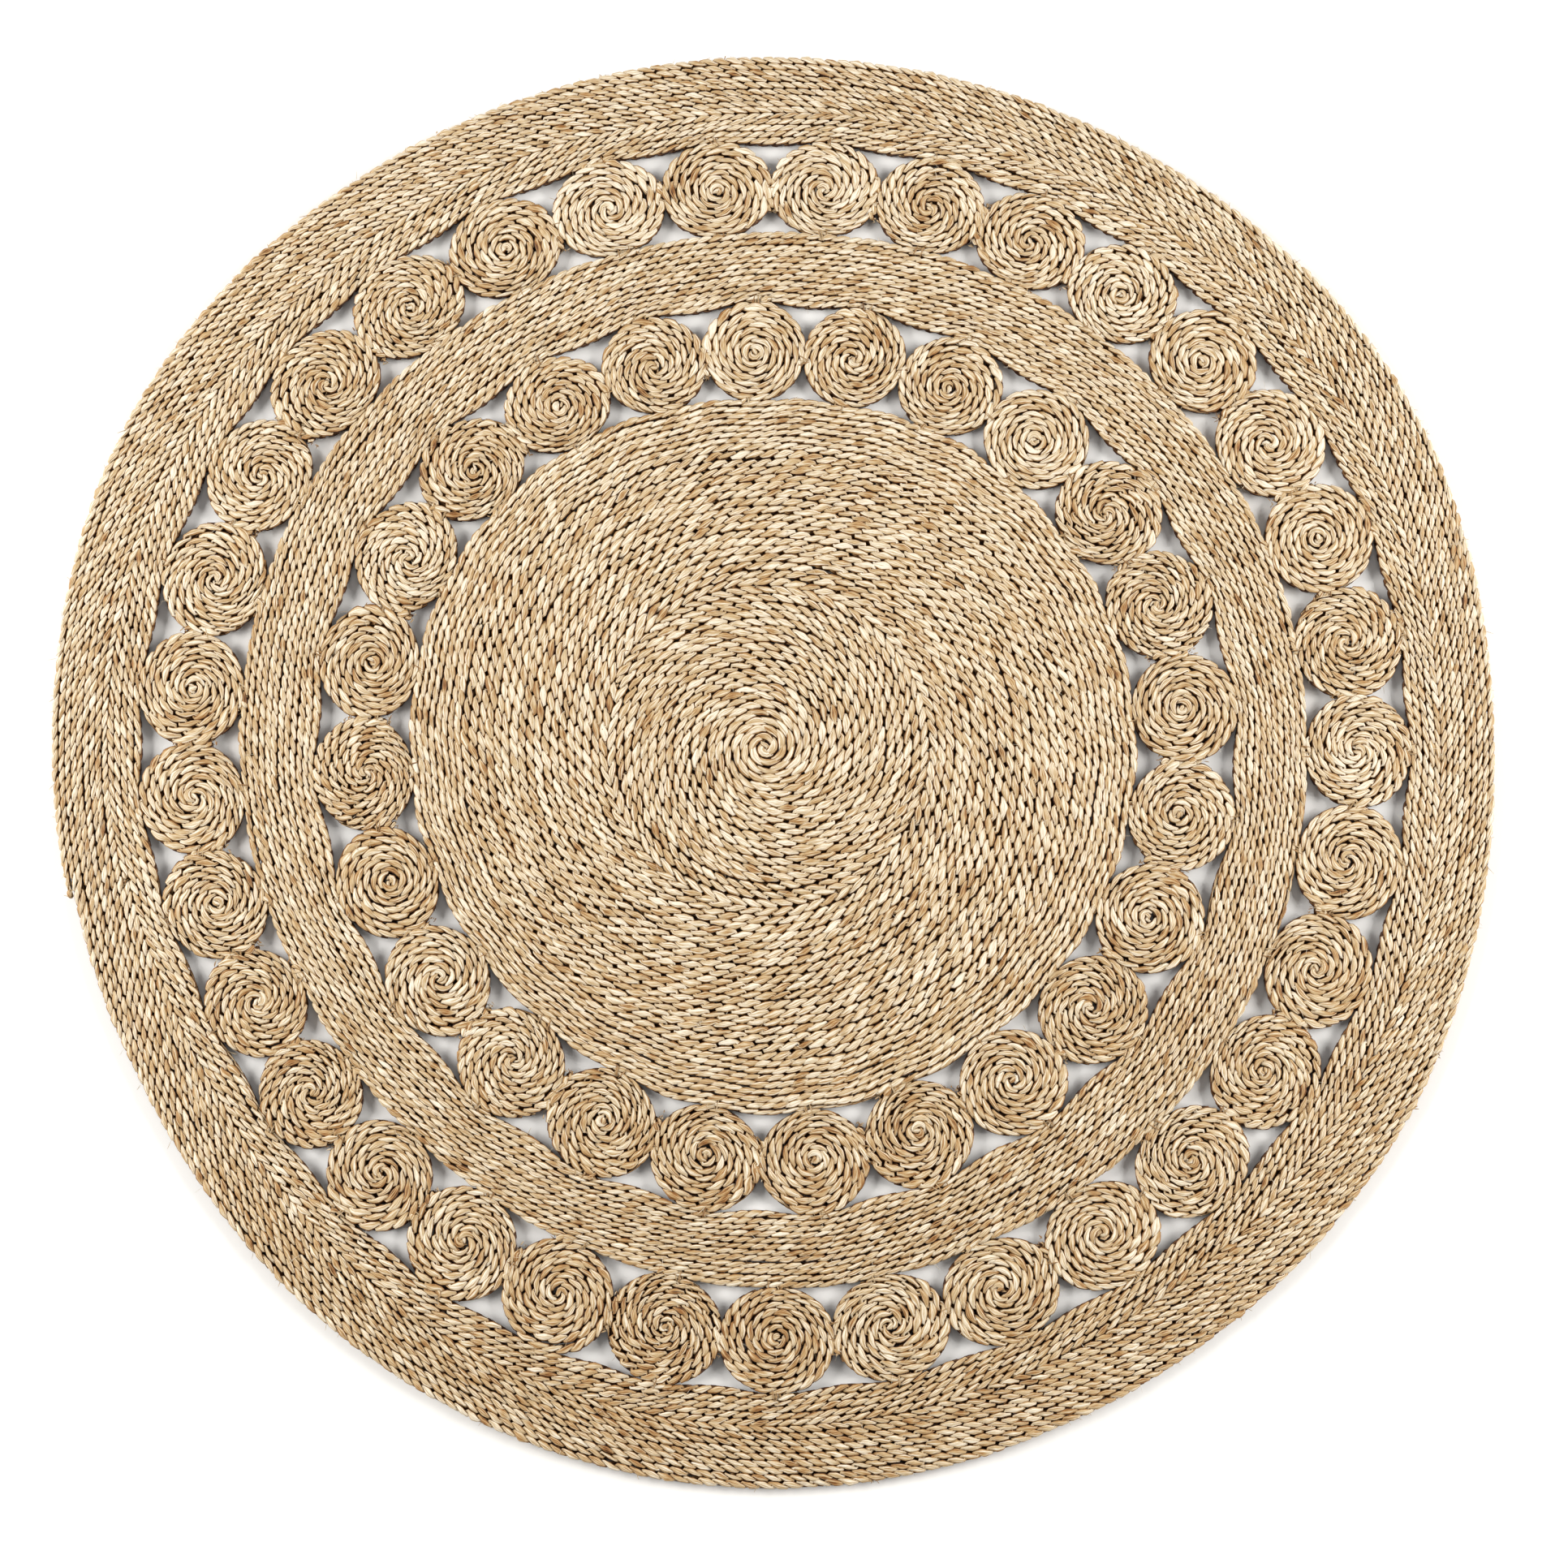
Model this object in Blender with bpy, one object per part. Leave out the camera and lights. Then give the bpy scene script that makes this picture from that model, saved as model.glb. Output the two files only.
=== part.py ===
"""Round braided jute rug, 1.5 m across, lying flat with its underside on the plane z = 0.

The rug is coiled and sewn from one kind of braid. A large coil fills the middle. Round it come a
ring of small coils (rosettes), a plain band, a wider ring of rosettes and a plain border, whose
outermost row stops short and leaves a small step in the outline. Each coil, band and rosette is
one object. The origin is the eye of the centre coil, on the floor.
"""

import math

import bmesh
import bpy
import numpy as np

# Driving dimensions, in metres and degrees. Angles run anticlockwise from +X, seen from above.
BRAID_HEIGHT = 0.011  # the braid stands on edge, so this is the rug's thickness
BRAID_WIDTH = 0.0070  # one row of the coil
EDGE_ROUND = 0.0028  # rounding of the braid's upper edge
SEAM_GAP = 0.0004  # clearance between neighbouring coils

# From the middle outwards, at the mean of a full turn.
CENTRE_RADIUS = 0.378
INNER_RING_WIDTH = 0.096
BAND_WIDTH = 0.081
OUTER_RING_WIDTH = 0.099
BORDER_WIDTH = 0.098

# The rug is sewn by hand, so no edge is a true circle. Each row gives how far that edge lies
# outside its mean circle, in millimetres, at 0, 30, 60 ... 330 degrees.
CENTRE_WOBBLE = (9, 9, 5, -5, 2, 2, -7, -12, -9, 2, 1, 5)
BAND_INNER_WOBBLE = (12, 12, 5, -3, -4, -2, -11, -15, -8, 1, 1, 8)
BAND_OUTER_WOBBLE = (9, 14, 9, -1, 0, 1, -8, -18, -13, -1, 2, 7)
BORDER_INNER_WOBBLE = (12, 20, 6, -4, -3, 0, -6, -23, -9, -1, -1, 7)
BORDER_OUTER_WOBBLE = (6, 22, 6, -4, -2, 6, -11, -20, -11, -1, 0, 8)
MILLIMETRE = 0.001

INNER_ROSETTES = 24
OUTER_ROSETTES = 33
INNER_FIRST_ANGLE = 4.4
OUTER_FIRST_ANGLE = -1.4
# The spacing tightens and opens round each ring: (waves round the ring, degrees of shift, phase).
INNER_DRIFT = ((1, -2.7, -18.0), (2, 0.8, 16.0))
OUTER_DRIFT = ((1, -0.85, 0.0), (2, 1.05, 90.0))
# How far each rosette presses into the row inside it and into the row outside it.
INNER_PRESS = (0.004, 0.008)
OUTER_PRESS = (0.002, 0.006)
ROSETTE_SQUARENESS = 2.3  # exponent of the superellipse: 2 is an ellipse, more is squarer

TAIL_ANGLE = 192.0  # where the outermost row is cut off
TAIL_SPAN = 0.5  # degrees that the blunt cut end takes up
CLIMB_SPAN = 55.0  # degrees over which the border grows out again past the cut end

CENTRE_STEPS = 120
BAND_STEPS = 200
ROSETTE_STEPS = 20

JUTE = (0.66, 0.50, 0.29)
ROUGHNESS = 0.85


def clear_scene():
    for obj in list(bpy.data.objects):
        bpy.data.objects.remove(obj, do_unlink=True)


def uneven_circle(radius, wobble, degrees):
    """A circle's radius with a smooth wobble added (Catmull-Rom through evenly spaced values)."""
    position = (degrees % 360.0) / 360.0 * len(wobble)
    index = int(position)
    t = position - index
    before, start, end, after = (wobble[(index + k) % len(wobble)] for k in (-1, 0, 1, 2))
    linear = (end - before) / 2
    square = before - 2.5 * start + 2 * end - after / 2
    cube = (after - before) / 2 + 1.5 * (start - end)
    return radius + MILLIMETRE * (start + t * (linear + t * (square + t * cube)))


def smooth_step(t):
    t = min(max(t, 0.0), 1.0)
    return t * t * (3 - 2 * t)


class RosetteRing:
    """Spacing of one ring of rosettes. Turn is the even angle, and angle is where it really lies."""

    def __init__(self, count, first_angle, drift):
        self.count = count
        self.first_angle = first_angle
        self.drift = drift

    def shift(self, turn):
        return sum(size * math.sin(math.radians(waves * turn + phase)) for waves, size, phase in self.drift)

    def angle(self, turn):
        return self.first_angle + turn + self.shift(turn)

    def turn(self, angle):
        """The inverse of angle, by repeated correction: the drift is small, so it settles at once."""
        turn = angle - self.first_angle
        for _ in range(12):
            turn = angle - self.first_angle - self.shift(turn)
        return turn

    def bulge(self, angle):
        """1 on the middle of a rosette, 0 halfway between two."""
        return 0.5 + 0.5 * math.cos(math.radians(self.turn(angle) * self.count))


class Loop:
    """One closed edge, kept as the points that the meshes use."""

    def __init__(self, steps, radius_at, start=0.0, skip=0.0):
        # With a skip, the points run from just past the start right round to just before it.
        if skip:
            self.angles = start + np.linspace(skip / 2, 360.0 - skip / 2, steps)
        else:
            self.angles = start + np.arange(steps) * 360.0 / steps
        self.radii = np.array([radius_at(angle) for angle in self.angles])

    def radius(self, angle):
        return float(np.interp(angle, self.angles, self.radii, period=360.0))

    def points(self):
        turns = np.radians(self.angles)
        return [(r * math.cos(t), r * math.sin(t)) for r, t in zip(self.radii, turns)]


def jute_material(name, tone):
    material = bpy.data.materials.new(name)
    material.use_nodes = True
    shader = material.node_tree.nodes["Principled BSDF"]
    shader.inputs["Base Color"].default_value = (*(channel * tone for channel in JUTE), 1.0)
    shader.inputs["Roughness"].default_value = ROUGHNESS
    shader.inputs["Metallic"].default_value = 0.0
    return material


def raise_and_round(bm, faces):
    """Extrudes flat faces to the braid's height and rounds the rims of the top."""
    bmesh.ops.recalc_face_normals(bm, faces=faces)
    extruded = bmesh.ops.extrude_face_region(bm, geom=faces)["geom"]
    top = [item for item in extruded if isinstance(item, bmesh.types.BMVert)]
    bmesh.ops.translate(bm, verts=top, vec=(0.0, 0.0, BRAID_HEIGHT))
    bmesh.ops.recalc_face_normals(bm, faces=bm.faces)
    top_verts = set(top)
    top_edges = [edge for edge in bm.edges if top_verts.issuperset(edge.verts)]
    rims = [edge for edge in top_edges if edge.calc_face_angle() > math.radians(45)]
    bmesh.ops.bevel(bm, geom=rims, offset=EDGE_ROUND, segments=1, profile=0.5, affect="EDGES")


def add_object(name, bm, parent, tone, location=(0.0, 0.0, 0.0), turn=0.0):
    mesh = bpy.data.meshes.new(name)
    bm.to_mesh(mesh)
    bm.free()
    mesh.materials.append(jute_material(name, tone))
    mesh.shade_smooth()
    mesh.set_sharp_from_angle(angle=math.radians(35))
    obj = bpy.data.objects.new(name, mesh)
    bpy.context.collection.objects.link(obj)
    obj.parent = parent
    obj.location = location
    obj.rotation_euler = (0.0, 0.0, math.radians(turn))
    return obj


def add_disc(name, points, parent, tone, location=(0.0, 0.0, 0.0), turn=0.0):
    bm = bmesh.new()
    face = bm.faces.new([bm.verts.new((x, y, 0.0)) for x, y in points])
    raise_and_round(bm, [face])
    return add_object(name, bm, parent, tone, location, turn)


def add_ring(name, inner, outer, parent, tone):
    bm = bmesh.new()
    loops = [[bm.verts.new((x, y, 0.0)) for x, y in loop.points()] for loop in (inner, outer)]
    faces = []
    for k, inner_vert in enumerate(loops[0]):
        following = (k + 1) % len(loops[0])
        corners = (inner_vert, loops[1][k], loops[1][following], loops[0][following])
        faces.append(bm.faces.new(corners))
    raise_and_round(bm, faces)
    return add_object(name, bm, parent, tone)


def rosette_outline(ring, turn, inner, outer):
    """A squared-off oval that fills its cell: neighbours on both sides, a band inside and outside."""
    half_turn = 180.0 / ring.count
    power = 2.0 / ROSETTE_SQUARENESS
    outline = []
    for k in range(ROSETTE_STEPS):
        t = 2 * math.pi * k / ROSETTE_STEPS
        across = math.copysign(abs(math.cos(t)) ** power, math.cos(t))
        along = math.copysign(abs(math.sin(t)) ** power, math.sin(t))
        angle = ring.angle(turn + along * half_turn)
        low = inner.radius(angle) + SEAM_GAP
        high = outer.radius(angle) - SEAM_GAP
        radius = low + (high - low) * (across + 1) / 2
        # Half the seam comes off each side, as an angle at this radius.
        angle -= math.degrees(along * SEAM_GAP / 2 / radius)
        outline.append((radius * math.cos(math.radians(angle)), radius * math.sin(math.radians(angle))))
    return outline


def add_rosettes(prefix, ring, inner, outer, parent):
    for k in range(ring.count):
        turn = k * 360.0 / ring.count
        angle = ring.angle(turn)
        radius = (inner.radius(angle) + outer.radius(angle)) / 2
        bearing = math.radians(angle)
        x, y = radius * math.cos(bearing), radius * math.sin(bearing)
        local = []
        for px, py in rosette_outline(ring, turn, inner, outer):
            east, north = px - x, py - y
            out = east * math.cos(bearing) + north * math.sin(bearing)
            side = north * math.cos(bearing) - east * math.sin(bearing)
            local.append((out, side))
        tone = 1.0 + 0.06 * math.sin(k * 2.4)
        add_disc(f"{prefix}_{k + 1:02d}", local, parent, tone, (x, y, 0.0), angle)


def build_rug():
    rug = bpy.data.objects.new("rug", None)
    bpy.context.collection.objects.link(rug)
    inner_ring = RosetteRing(INNER_ROSETTES, INNER_FIRST_ANGLE, INNER_DRIFT)
    outer_ring = RosetteRing(OUTER_ROSETTES, OUTER_FIRST_ANGLE, OUTER_DRIFT)

    band_inner_radius = CENTRE_RADIUS + INNER_RING_WIDTH
    band_outer_radius = band_inner_radius + BAND_WIDTH
    border_inner_radius = band_outer_radius + OUTER_RING_WIDTH
    border_outer_radius = border_inner_radius + BORDER_WIDTH

    def centre_edge(angle):
        edge = uneven_circle(CENTRE_RADIUS, CENTRE_WOBBLE, angle)
        return edge - INNER_PRESS[0] * inner_ring.bulge(angle)

    def band_inner_edge(angle):
        edge = uneven_circle(band_inner_radius, BAND_INNER_WOBBLE, angle)
        return edge + INNER_PRESS[1] * inner_ring.bulge(angle)

    def band_outer_edge(angle):
        edge = uneven_circle(band_outer_radius, BAND_OUTER_WOBBLE, angle)
        return edge - OUTER_PRESS[0] * outer_ring.bulge(angle)

    def border_inner_edge(angle):
        edge = uneven_circle(border_inner_radius, BORDER_INNER_WOBBLE, angle)
        return edge + OUTER_PRESS[1] * outer_ring.bulge(angle)

    def border_outer_edge(angle):
        past_tail = (angle - TAIL_ANGLE) % 360.0
        missing_row = BRAID_WIDTH * (1.0 - smooth_step(past_tail / CLIMB_SPAN))
        return uneven_circle(border_outer_radius, BORDER_OUTER_WOBBLE, angle) - missing_row

    centre = Loop(CENTRE_STEPS, centre_edge)
    band_inner = Loop(BAND_STEPS, band_inner_edge)
    band_outer = Loop(BAND_STEPS, band_outer_edge)
    border_inner = Loop(BAND_STEPS, border_inner_edge, TAIL_ANGLE, TAIL_SPAN)
    border_outer = Loop(BAND_STEPS, border_outer_edge, TAIL_ANGLE, TAIL_SPAN)

    add_disc("centre_coil", centre.points(), rug, 1.0)
    add_rosettes("inner_rosette", inner_ring, centre, band_inner, rug)
    add_ring("middle_band", band_inner, band_outer, rug, 0.97)
    add_rosettes("outer_rosette", outer_ring, band_outer, border_inner, rug)
    add_ring("outer_border", border_inner, border_outer, rug, 1.02)


clear_scene()
build_rug()
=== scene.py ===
"""Looks of the round jute rug: every coil is made of the braid that it is wound from.

A braid is three plaited strands standing on edge. Each coil of the frame gives its outline, and the
braid winds through it row by row: round the eye in the middle coil and in the rosettes, and round
and round between two edges in the plain bands. All lengths are in metres and all angles in degrees,
anticlockwise from +X seen from above.
"""

import math

import bpy
import numpy as np
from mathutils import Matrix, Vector


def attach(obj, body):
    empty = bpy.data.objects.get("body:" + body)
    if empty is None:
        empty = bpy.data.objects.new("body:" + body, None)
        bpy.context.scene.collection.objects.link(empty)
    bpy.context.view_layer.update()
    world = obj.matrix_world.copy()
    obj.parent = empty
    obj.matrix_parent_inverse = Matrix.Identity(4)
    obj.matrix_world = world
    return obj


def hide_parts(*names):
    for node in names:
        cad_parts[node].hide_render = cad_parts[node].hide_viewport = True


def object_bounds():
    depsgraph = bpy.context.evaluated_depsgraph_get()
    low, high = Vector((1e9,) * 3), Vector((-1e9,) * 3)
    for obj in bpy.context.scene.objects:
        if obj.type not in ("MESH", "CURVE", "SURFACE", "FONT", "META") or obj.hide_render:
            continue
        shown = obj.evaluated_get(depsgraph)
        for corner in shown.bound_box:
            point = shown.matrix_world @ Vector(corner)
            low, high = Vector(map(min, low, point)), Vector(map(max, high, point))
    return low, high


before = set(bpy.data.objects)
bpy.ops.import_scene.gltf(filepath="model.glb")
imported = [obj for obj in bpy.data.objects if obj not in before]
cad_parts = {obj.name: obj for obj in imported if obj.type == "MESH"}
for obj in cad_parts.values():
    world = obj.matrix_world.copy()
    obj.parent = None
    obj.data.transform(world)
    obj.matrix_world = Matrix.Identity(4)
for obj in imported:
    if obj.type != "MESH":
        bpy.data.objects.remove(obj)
cad_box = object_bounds()

# The braid's shape.
SIDES = 8  # corners of a strand's cross-section
RINGS = 12  # cross-sections of a strand in one period of the plait
BUNCHING = 0.45  # moves cross-sections from the hidden underside to the top
PHASE_STEP = 0.004  # metres between the places where the plait's phase is worked out
SWING = 0.36  # sideways swing of a strand, in row widths
RETURN = 14.0  # degrees of its phase in which a strand crosses back, in the middle of the braid
RISE = 0.30  # up and down swing of a strand, in braid heights
STAY = 0.35  # how much longer a strand stays up than down
STAY_POWER = 0.6  # below 1, it dives faster
HALF_ROW = 0.54  # where a leaning strand's outer side lies, in row widths
NARROWING = 0.05  # how much nearer to the row's middle it lies where the strand doesn't lean
TIP_HALF = 0.24  # half the strand's least width on the top side, in row widths
SIDE_HALF = 0.36  # half its width where it crosses back
PLUMP_HALF = 0.20  # half the strand's height, in braid heights
FLATNESS = 2.7  # exponent of the cross-section: 2 is an ellipse, more is flatter
LONGEST_PIECE = 13.0  # metres of braid in one mesh
END_TAPER = 0.006  # metres over which a strand closes at its ends
LEAST_END = 0.12  # tapers stop at this share, so that nothing shrinks to a point
JOINT = 0.007  # metres by which two meshes of the same braid reach into each other
FLOOR_GAP = 0.0003  # nothing goes lower than this, in metres

# How uneven the braid is, as standard deviations.
LOBE_WIDTH, LOBE_SHIFT, LOBE_TILT = 0.06, 0.05, 0.16  # of each lobe, in row widths
LOBE_LIFT = 0.028  # of each lobe, in braid heights
DRIFT, DRIFT_PERIODS = 0.2, 4  # of the plait's phase, in periods, and between how many of them
SWAY, SWAY_LENGTH = 0.06, 0.03  # of a row's middle, in row widths, and between how many metres

# The jute's tones, as positions on its scale of colours, with painted shade taken off them.
PLAIN_TONE, BROWN_TONE = 0.80, 0.58
LOBE_TONE = 0.048  # standard deviation of each lobe's tone
SLOW_TONE, SLOW_LENGTH = 0.06, 0.25  # slower changes, and between how many metres
FRONT_BROWNING_AND_SHADE, FRONT_REACH = 0.07, 0.7  # the -Y side is darker, partly browner jute and partly painted shade as if more light fell from +Y; fully so at that many metres
BURNT_SHARE, BURNT_DEPTH = 0.045, 0.2  # how many lobes are much browner, and by how much
PAINTED_SHADE_DEPTH = 0.8  # painted shade: how much darker a strand's flanks and diving ends are, where the braid shades itself
DIVE_SHADE_DEPTH = 0.6  # how dark the painted shade of its diving ends is, against that of its flanks
DIVE_FROM, DIVE_SPAN = 0.86, 0.3  # the painted shade of a diving end starts below this height and deepens over that one, in braid heights
BARE_LIGHTENING = 0.7  # how much of that painted shade the rug's open rim lacks, as nothing beside its outer flank shades it

# Loose fibres and stitches.
HAIRS = 12  # loose hairs on a metre of braid
STITCHES = 4  # in a seam where two coils meet
ROSETTE_TUCKS, BAND_TUCKS = 0.65, 0.2  # the chance of each of two braid ends tucked into a seam
FLIP_FRAYS = 60  # frayed spots where the middle coil's first braid ends
RIM_FRAYS, RIM_HAIRS = 9, 90  # on the rug's rim
FIBRE_RINGS = 6  # cross-sections of a loose fibre
FIBRES_AT_TUCK, FIBRES_AT_FLIP, FIBRES_AT_RIM = 6, 7, 12  # in one frayed spot there
FIBRES_AT_BORDER_FLIP, FIBRES_AT_TIP = 40, 3  # where the border's first braid ends, and its last
STITCH_HALF, STITCH_THICK = 0.006, 0.0014  # metres: half a stitch's length, and its thickness
SEAM_HALF = 0.009  # metres of a seam to each side of its middle that hold stitches
END_PERIOD, END_SAMPLES = 0.03, 40  # a tucked or folded end's plait, and the samples of its path

# The coils, in metres across one row and along one period of the plait.
CORE_ROW = 0.00865
EDGE_ROW = 0.0070
CORE_ROWS = 19.5  # rows of the middle coil's first braid
MAIN_ROWS = 37.5  # where its rows become narrower
CALM_ROWS = 9.0  # rows round the eye over which the lobes come to lean fully
CALM = 0.6  # how much of their lean the lobes lack at the eye
CORE_PERIOD = 0.047
EDGE_PERIOD = 0.041
ROSETTE_ROW = 0.0075
ROSETTE_PERIOD = 0.046
ROSETTE_LEANS = (0.8, 1.15)  # how far the lobes of rosettes lean
ROSETTE_PERIODS = (0.85, 1.15)  # the shortest and longest period, as shares of that one
ROSETTE_DARKNESS = (0.025, 0.02)  # mean and standard deviation, in tone
BULGE = 0.0008  # how far a rosette's rim presses into its seams
MIRRORED_SHARE = 0.4  # of the rosettes are wound the other way
BAND_ROWS = 12
BORDER_ROWS = 14
BORDER_FLIP = 5  # rows of the border that are wound from the braid of the other hand
EYE_ROW = 0.35  # row coordinate at which a spiral starts
EYE_LENGTH = 1.8  # rows that the folded start of a braid is long
SPIRAL_SAMPLES = 60  # of a spiral's path in a unit of its squared row, or one every 0.4 mm or so
TAIL_SPAN = 0.12  # part of a turn over which a spiral's end tapers off
CLIMB_SPAN = 55.0  # degrees over which the border's rows all move out by one
BAND_CLIMB = (330.0, 30.0)  # where the middle band's rows do so, and over how many degrees
WORN_SPAN, WORN_DEPTH = 3.4, 0.35  # degrees over which the border's end thins, and by how much
WORN_LUMPS = (0.0, 0.003, 0.013, 0.022, 0.034)  # metres back from that end
PRESS_REACH = 2.5  # rows over which a rosette's bulge in an edge fades out

SLASH, BACKSLASH = -1.0, 1.0  # which way the lobes of a braid lean
FLATTER, BAND_LEAN = 0.6, 0.8  # how much of that lean the middle coil's edge and the band have


def smooth_step(t):
    t = np.clip(t, 0.0, 1.0)
    return t * t * (3 - 2 * t)


# ---- outlines, from the frame ----

TABLE_STEP = 0.25
TABLE_ANGLES = np.arange(0.0, 360.0, TABLE_STEP)
EDGE_BLUR, ROSETTE_BLUR, BAND_BLUR = 2.0, 8.0, 12.0  # degrees each way that tables are smoothed


def floor_outline(node):
    """The corners of a node's underside, each once."""
    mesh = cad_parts[node].data
    corners = np.empty(len(mesh.vertices) * 3, np.float32)
    mesh.vertices.foreach_get("co", corners)
    corners = corners.reshape(-1, 3)
    return np.unique(np.round(corners[corners[:, 2] < 1e-4, :2].astype(float), 6), axis=0)


def polar(points):
    angle = np.degrees(np.arctan2(points[:, 1], points[:, 0])) % 360.0
    order = np.argsort(angle)
    return angle[order], np.hypot(points[:, 0], points[:, 1])[order]


def blurred(radii, degrees):
    """A closed table of radii, smoothed over that many degrees each way."""
    reach = int(round(degrees / TABLE_STEP))
    window = np.hanning(2 * reach + 3)[1:-1]
    wrapped = np.concatenate([radii[-reach:], radii, radii[:reach]])
    return np.convolve(wrapped, window / window.sum(), "valid")


def look_up(table, angle):
    return np.interp(angle, TABLE_ANGLES, table, period=360.0)


def edge_table(points):
    angle, radius = polar(points)
    return blurred(np.interp(TABLE_ANGLES, angle, radius, period=360.0), EDGE_BLUR)


def ring_edges(node):
    """The corners of a ring's inner edge, and those of its outer edge."""
    points = floor_outline(node)
    radius = np.hypot(points[:, 0], points[:, 1])
    middle = (radius.min() + radius.max()) / 2
    return points[radius < middle], points[radius >= middle]


# ---- where the rows run ----


class Ring:
    """A band between two edges. Row 0 is its inner edge and row total is its outer edge."""

    def __init__(self, inner, outer, total):
        self.low, self.high = blurred(inner, BAND_BLUR), blurred(outer, BAND_BLUR)
        self.low_press, self.high_press = inner - self.low, outer - self.high
        self.total = total
        # Slow waves in the rows: how many round the band, their size in metres and where they start.
        self.waves = [(2, 0.0007, 40.0), (5, 0.0005, 200.0), (9, 0.0004, 77.0), (17, 0.0003, 10.0)]

    def radius(self, angle, row):
        low, high = look_up(self.low, angle), look_up(self.high, angle)
        left = self.total - row
        waver = sum(
            size * np.sin(np.radians(count * angle + phase + 60.0 * row / self.total))
            for count, size, phase in self.waves
        )
        inside = np.clip(row * left, 0.0, None) * 4 / self.total**2
        return (
            low
            + (high - low) * row / self.total
            + look_up(self.low_press, angle) * np.exp(-np.clip(row, 0, None) / PRESS_REACH)
            + look_up(self.high_press, angle) * np.exp(-np.clip(left, 0, None) / PRESS_REACH)
            + waver * inside
        )


class Disc:
    """A spiral's space inside one edge. Rows count turns, and zones lists (rows, metres a row)."""

    def __init__(self, edge, zones, turns, end_angle):
        self.edge = edge
        ends = np.cumsum([rows for rows, _ in zones])
        self.rows = np.concatenate([[0.0], ends])
        self.reach = np.concatenate([[0.0], np.cumsum([rows * size for rows, size in zones])])
        self.turns = turns
        self.end_angle = end_angle
        self.last_row = EYE_ROW + turns

    def plain(self, row):
        return np.interp(row, self.rows, self.reach) + np.minimum(row, 0.0) * self.reach[1] / self.rows[1]

    def outermost(self, angle):
        """Row coordinate of the coil's rim at this angle."""
        since_end = ((angle - self.end_angle) / 360.0) % 1.0
        taper = smooth_step((1.0 - since_end) / TAIL_SPAN)
        return self.last_row - 0.5 + since_end - (1.0 - taper)

    def radius(self, angle, row):
        rim = self.outermost(angle)
        stretch = look_up(self.edge, angle) / self.plain(rim) - 1.0
        return self.plain(row) * (1.0 + stretch * np.clip(row / rim, 0.0, 1.2) ** 2)


class Path:
    """A braid's centreline, with the direction to its right-hand side and the width of its row.

    bare is 1 where nothing lies to its right, and the painted shade on that flank is lighter there, and
    calm is the share of its lean that it lacks.
    """

    def __init__(self, space, angle, row, width, mirror=1.0, centre=(0.0, 0.0), heading=0.0):
        def place(at_row):
            turn = np.radians(mirror * angle + heading)
            radius = space.radius(angle, at_row)
            return np.stack([radius * np.cos(turn), radius * np.sin(turn)], 1) + centre

        self.point = place(row)
        self.width = np.linalg.norm(place(row + width / 2) - place(row - width / 2), axis=1)
        run = np.gradient(self.point, axis=0)
        step = np.linalg.norm(run, axis=1, keepdims=True)
        run /= np.maximum(step, 1e-9)
        self.out = np.stack([run[:, 1], -run[:, 0]], 1)
        self.bare = np.zeros(len(angle))
        self.calm = np.zeros(len(angle))
        gaps = np.linalg.norm(np.diff(self.point, axis=0), axis=1)
        self.length = np.concatenate([[0.0], np.cumsum(gaps)])

    def cut(self, start, end):
        """The stretch between two lengths, as a path of its own."""
        piece = object.__new__(Path)
        keep = (self.length >= start) & (self.length <= end)
        for name in ("point", "width", "out", "bare", "calm", "length"):
            setattr(piece, name, getattr(self, name)[keep])
        piece.length = piece.length - piece.length[0]
        return piece

    def shared_out(self, longest):
        """The path in equal stretches, none over the longest."""
        count = max(1, math.ceil(self.length[-1] / longest))
        ends = np.linspace(0.0, self.length[-1], count + 1)
        return [self.cut(a - JOINT, b + JOINT) for a, b in zip(ends[:-1], ends[1:])]


def ring_path(space, climb_angle, climb_span, first_turn, last_turn, blunt):
    """Turns of a band. In the climb all rows move out by one, and the braid's head and end taper.

    A blunt braid stops where its last climb would begin.
    """
    step = 0.12  # degrees
    whole = 360.0 * (last_turn - first_turn)
    angle = np.arange(0.0, whole + (0.0 if blunt else climb_span), step)
    turn = first_turn + np.floor(angle / 360.0)
    climb = smooth_step((angle % 360.0) / climb_span)
    row = turn - 0.5 + climb
    width = np.ones_like(row)
    head = (turn == 0) & (climb < 1.0)
    row[head], width[head] = climb[head] / 2, climb[head]
    tail = turn == space.total
    row[tail], width[tail] = space.total - (1.0 - climb[tail]) / 2, 1.0 - climb[tail]
    if blunt and last_turn == space.total:  # the border's very end has worn thin
        width -= WORN_DEPTH * smooth_step(1.0 - (angle[-1] - angle) / WORN_SPAN)
    width = np.maximum(width, LEAST_END)
    path = Path(space, angle + climb_angle, row, width)
    path.bare = smooth_step(row - space.total + 1.5)  # 1 in the last row
    return path


def spiral_path(space, start_row, end_row, **place):
    """Turns of a spiral between two rows, sampled evenly along its length."""
    count = int(SPIRAL_SAMPLES * (end_row**2 - start_row**2) + 200)
    row = np.sqrt(np.linspace(start_row**2, end_row**2, count))
    angle = space.end_angle - 360.0 * (space.last_row - row)
    left = (space.last_row - row) / TAIL_SPAN
    width = smooth_step(left)
    centre_row = row - (1.0 - width) / 2
    return Path(space, angle, centre_row, np.maximum(width, LEAST_END), **place)


def point_on(space, angle, row):
    """The point at an angle and a row of a coil's space."""
    return Path(space, np.full(2, angle), np.full(2, row), np.ones(2)).point[0]


# ---- the braid itself ----


def cross_section():
    """Corners of the unit cross-section, closer together on its upper side."""
    turn = np.radians(90.0 + np.array([0.0, 34.0, 72.0, 116.0, 180.0, 244.0, 288.0, 326.0]))
    power = 2.0 / FLATNESS
    across = np.sign(np.cos(turn)) * np.abs(np.cos(turn)) ** power
    up = np.sign(np.sin(turn)) * np.abs(np.sin(turn)) ** power
    return across, up


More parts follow.
